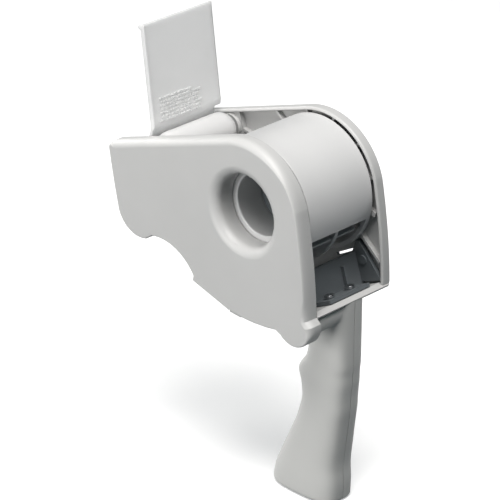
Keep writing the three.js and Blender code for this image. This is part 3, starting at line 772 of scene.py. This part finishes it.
def ground_steel(name):
    """Plain steel with fine grinding marks and a little unevenness."""
    material = bpy.data.materials.new(name)
    material.use_nodes = True
    nodes, links = material.node_tree.nodes, material.node_tree.links
    shader = nodes["Principled BSDF"]
    shader.inputs["Metallic"].default_value = 1
    where = nodes.new("ShaderNodeTexCoord")
    stretch = nodes.new("ShaderNodeMapping")
    stretch.inputs["Scale"].default_value = (1, 0.06, 1)
    links.new(where.outputs["Object"], stretch.inputs["Vector"])
    marks = nodes.new("ShaderNodeTexNoise")
    marks.inputs["Scale"].default_value = 1800
    marks.inputs["Detail"].default_value = 3
    links.new(stretch.outputs["Vector"], marks.inputs["Vector"])
    tone = nodes.new("ShaderNodeMix")
    tone.data_type = "RGBA"
    tone.inputs["A"].default_value = (0.46, 0.47, 0.48, 1)
    tone.inputs["B"].default_value = (0.62, 0.62, 0.63, 1)
    links.new(marks.outputs["Fac"], tone.inputs["Factor"])
    links.new(tone.outputs["Result"], shader.inputs["Base Color"])
    gloss = nodes.new("ShaderNodeMapRange")
    gloss.inputs["To Min"].default_value = 0.22
    gloss.inputs["To Max"].default_value = 0.4
    links.new(marks.outputs["Fac"], gloss.inputs["Value"])
    links.new(gloss.outputs["Result"], shader.inputs["Roughness"])
    bump = nodes.new("ShaderNodeBump")
    bump.inputs["Strength"].default_value = 0.15
    bump.inputs["Distance"].default_value = 0.0001
    links.new(marks.outputs["Fac"], bump.inputs["Height"])
    links.new(bump.outputs["Normal"], shader.inputs["Normal"])
    return material


materials = {
    "shell_plastic": moulded("shell plastic", (0.56, 0.56, 0.555), 0.42),
    "handle_plastic": moulded("handle plastic", (0.63, 0.63, 0.615), 0.45),
    "drum_plastic": moulded("drum plastic", (0.66, 0.66, 0.66), 0.36, 0.04),
    "roller_plastic": moulded("roller plastic", (0.66, 0.66, 0.66), 0.3, 0.03),
    "flap_plastic": moulded("flap plastic", (0.80, 0.80, 0.80), 0.4, 0.05, 0.9),
    # The inner plastic's colour is darkened far below the moulding's own grey as painted shade, so the chamber,
    # the spindle's bore and the other parts deep inside look shadowed under any lamp.
    "inner_plastic": moulded("inner plastic darkened as painted shade", (0.16, 0.175, 0.185), 0.45),
    "washer_rubber": moulded("washer rubber", (0.05, 0.05, 0.05), 0.75, 0.3),
    "steel": ground_steel("steel"),
}


# ---------------------------------------------------------------- pieces

def dress(piece, slot, bevel, sharp=34):
    """Gives a piece its material, eased edges of the given width in millimetres, and even shading."""
    piece.data.materials.clear()
    piece.data.materials.append(materials[slot])
    piece.data.polygons.foreach_set("material_index", [0] * len(piece.data.polygons))
    piece.data.polygons.foreach_set("use_smooth", [True] * len(piece.data.polygons))
    if bevel:
        ease = piece.modifiers.new("ease edges", "BEVEL")
        ease.width = bevel / 1000
        ease.segments = 2
        ease.limit_method = "ANGLE"
        ease.angle_limit = math.radians(sharp)
        ease.miter_outer = "MITER_ARC"
    else:
        piece.data.set_sharp_from_angle(angle=math.radians(sharp))
    even = piece.modifiers.new("even shading", "WEIGHTED_NORMAL")
    even.keep_sharp = True
    even.weight = 100


def place(piece, name, body, node, slot, bevel=0.15):
    """Hangs a drawn piece on its body, in place of the CAD node."""
    piece.name = name
    dress(piece, slot, bevel)
    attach(piece, body)
    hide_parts(node)


place(side_cover(), "side_cover_moulding", "frame", "left_side_cover", "shell_plastic")
place(side_frame(), "side_frame_moulding", "frame", "right_side_frame", "shell_plastic")
place(handle_half(-1), "grip_left_moulding", "frame", "handle_left_half", "handle_plastic")
place(handle_half(1), "grip_right_moulding", "frame", "handle_right_half", "handle_plastic")
place(core_drum(), "core_drum_moulding", "tape_hub", "tape_hub_drum", "drum_plastic")
place(hub_sleeve(), "hub_sleeve_moulding", "tape_hub", "hub_sleeve", "drum_plastic", 0)
# The spindle takes the inner plastic, whose dark colour is painted shade for its bore.
place(hub_spindle(), "hub_spindle_moulding", "frame", "hub_spindle", "inner_plastic", 0)
place(roller(), "roller_moulding", "applicator", "applicator_roller", "roller_plastic", 0)
place(flap(), "flap_moulding", "wiper", "wiper_flap", "flap_plastic")

slots = {row["node"]: row["material_slot"] for row in frame["record"]["subparts"]}
for name, node in frame["nodes"].items():
    if node.hide_render:
        continue
    weld = node.modifiers.new("weld", "WELD")
    weld.merge_threshold = 0.000005
    dress(node, slots[name], 0.12)


# ---------------------------------------------------------------- camera, floor and light

CAMERA_AZIMUTH = math.radians(44.516)
CAMERA_ELEVATION = math.radians(25.723)
CAMERA_ROLL = math.radians(0.19)
CAMERA_DISTANCE = 1.5184
CAMERA_LENS = 199.0
AIM_OFFSET = Vector((-0.00164, 0.00135, 0.00438))

low_corner, high_corner = (Vector(corner) for corner in cad_bounds)
centre = (low_corner + high_corner) / 2
aim = centre + AIM_OFFSET
back = Vector((math.sin(CAMERA_AZIMUTH) * math.cos(CAMERA_ELEVATION),
               -math.cos(CAMERA_AZIMUTH) * math.cos(CAMERA_ELEVATION), math.sin(CAMERA_ELEVATION)))
camera_data = bpy.data.cameras.new("camera")
camera_data.lens = CAMERA_LENS
camera_data.sensor_width = 36
camera_data.clip_end = 50
camera = bpy.data.objects.new("camera", camera_data)
look = back.to_track_quat("Z", "Y").to_matrix().to_4x4()
camera.matrix_world = (Matrix.Translation(aim + back * CAMERA_DISTANCE) @ look
                       @ Matrix.Rotation(CAMERA_ROLL, 4, "Z"))
bpy.context.scene.collection.objects.link(camera)
bpy.context.scene.camera = camera

FLOOR_SIZE = 8
floor_mesh = bpy.data.meshes.new("floor")
floor_work = bmesh.new()
bmesh.ops.create_grid(floor_work, x_segments=4, y_segments=4, size=FLOOR_SIZE / 2)
floor_work.to_mesh(floor_mesh)
floor_work.free()
floor = bpy.data.objects.new("floor", floor_mesh)
floor.location = (0, 0, low_corner.z)
floor.visible_diffuse = False
floor_material = moulded("pale floor", (0.86, 0.86, 0.86), 0.8)
floor_shader = floor_material.node_tree.nodes["Principled BSDF"]
floor_shader.inputs["Specular IOR Level"].default_value = 0.1
floor_shader.inputs["Emission Color"].default_value = (1, 1, 1, 1)
floor_shader.inputs["Emission Strength"].default_value = 0.3
floor_mesh.materials.append(floor_material)
bpy.context.scene.collection.objects.link(floor)


def softbox(name, place, size, power, colour):
    data = bpy.data.lights.new(name, "AREA")
    data.shape = "RECTANGLE"
    data.size, data.size_y = size
    data.energy = power
    data.color = colour
    light = bpy.data.objects.new(name, data)
    light.location = place
    light.rotation_euler = (Vector(place) - centre).to_track_quat("Z", "Y").to_euler()
    bpy.context.scene.collection.objects.link(light)


softbox("overhead softbox", (0.4, -0.35, 1.5), (0.9, 0.9), 22.5, (1, 0.98, 0.96))
softbox("key softbox", (-0.3, -1.7, 0.45), (1.1, 1.1), 17.5, (1, 0.985, 0.97))
softbox("nose softbox", (-1.7, 0.2, 0.4), (1.2, 1.2), 14, (1, 0.99, 0.98))

world = bpy.data.worlds.new("soft surroundings")
world.use_nodes = True
world.node_tree.nodes["Background"].inputs["Color"].default_value = (0.70, 0.90, 1, 1)
world.node_tree.nodes["Background"].inputs["Strength"].default_value = 0.07
bpy.context.scene.world = world
bpy.context.scene.view_settings.view_transform = "Standard"
bpy.context.scene.view_settings.look = "Medium High Contrast"

bpy.context.view_layer.update()
